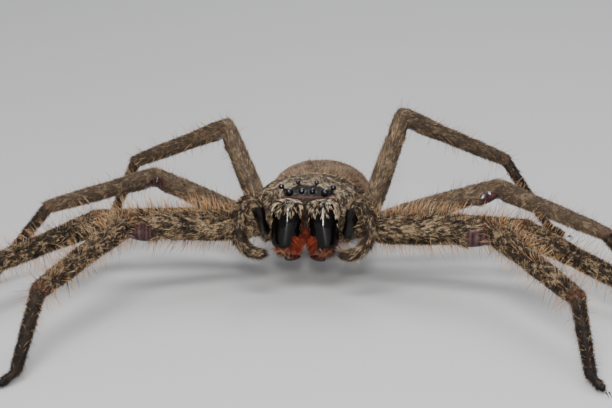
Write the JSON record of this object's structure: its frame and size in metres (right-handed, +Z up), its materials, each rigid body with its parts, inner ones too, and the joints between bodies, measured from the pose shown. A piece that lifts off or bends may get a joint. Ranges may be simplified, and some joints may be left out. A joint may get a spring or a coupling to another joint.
{
  "type": "huntsman spider model",
  "caption": "Life-size still model of a large hairy huntsman spider, legs spread sideways and bent forwards, head low over the floor.",
  "frame": {"origin": "on the floor, under the middle of the bounding box", "axes": "+X towards the spider's left across the leg span, -Y the way the head faces, +Z up"},
  "size_m": [0.0908, 0.0696, 0.0162],
  "materials": {
    "hair": "short dense hair over horn",
    "abdomen": "fine velvety hair",
    "horn": "glossy black horn",
    "eye": "polished black"
  },
  "bodies": {
    "root": {"abdomen": "abdomen", "carapace": "hair", "chelicera_left": "horn", "chelicera_right": "horn", "endite_left": "hair", "endite_right": "hair", "eye_front_lateral_left": "eye", "eye_front_lateral_right": "eye", "eye_front_median_left": "eye", "eye_front_median_right": "eye", "eye_rear_lateral_left": "eye", "eye_rear_lateral_right": "eye", "eye_rear_median_left": "eye", "eye_rear_median_right": "eye", "fang_left": "horn", "fang_right": "horn", "labium": "hair", "leg_left_1_coxa": "hair", "leg_left_1_femur": "hair", "leg_left_1_foot": "hair", "leg_left_1_tibia": "hair", "leg_left_2_coxa": "hair", "leg_left_2_femur": "hair", "leg_left_2_foot": "hair", "leg_left_2_tibia": "hair", "leg_left_3_coxa": "hair", "leg_left_3_femur": "hair", "leg_left_3_foot": "hair", "leg_left_3_tibia": "hair", "leg_left_4_coxa": "hair", "leg_left_4_femur": "hair", "leg_left_4_foot": "hair", "leg_left_4_tibia": "hair", "leg_right_1_coxa": "hair", "leg_right_1_femur": "hair", "leg_right_1_foot": "hair", "leg_right_1_tibia": "hair", "leg_right_2_coxa": "hair", "leg_right_2_femur": "hair", "leg_right_2_foot": "hair", "leg_right_2_tibia": "hair", "leg_right_3_coxa": "hair", "leg_right_3_femur": "hair", "leg_right_3_foot": "hair", "leg_right_3_tibia": "hair", "leg_right_4_coxa": "hair", "leg_right_4_femur": "hair", "leg_right_4_foot": "hair", "leg_right_4_tibia": "hair", "palp_left_femur": "hair", "palp_left_tarsus": "hair", "palp_right_femur": "hair", "palp_right_tarsus": "hair", "pedicel": "hair", "spinnerets": "abdomen", "sternum": "hair"}
  },
  "joints": []
}
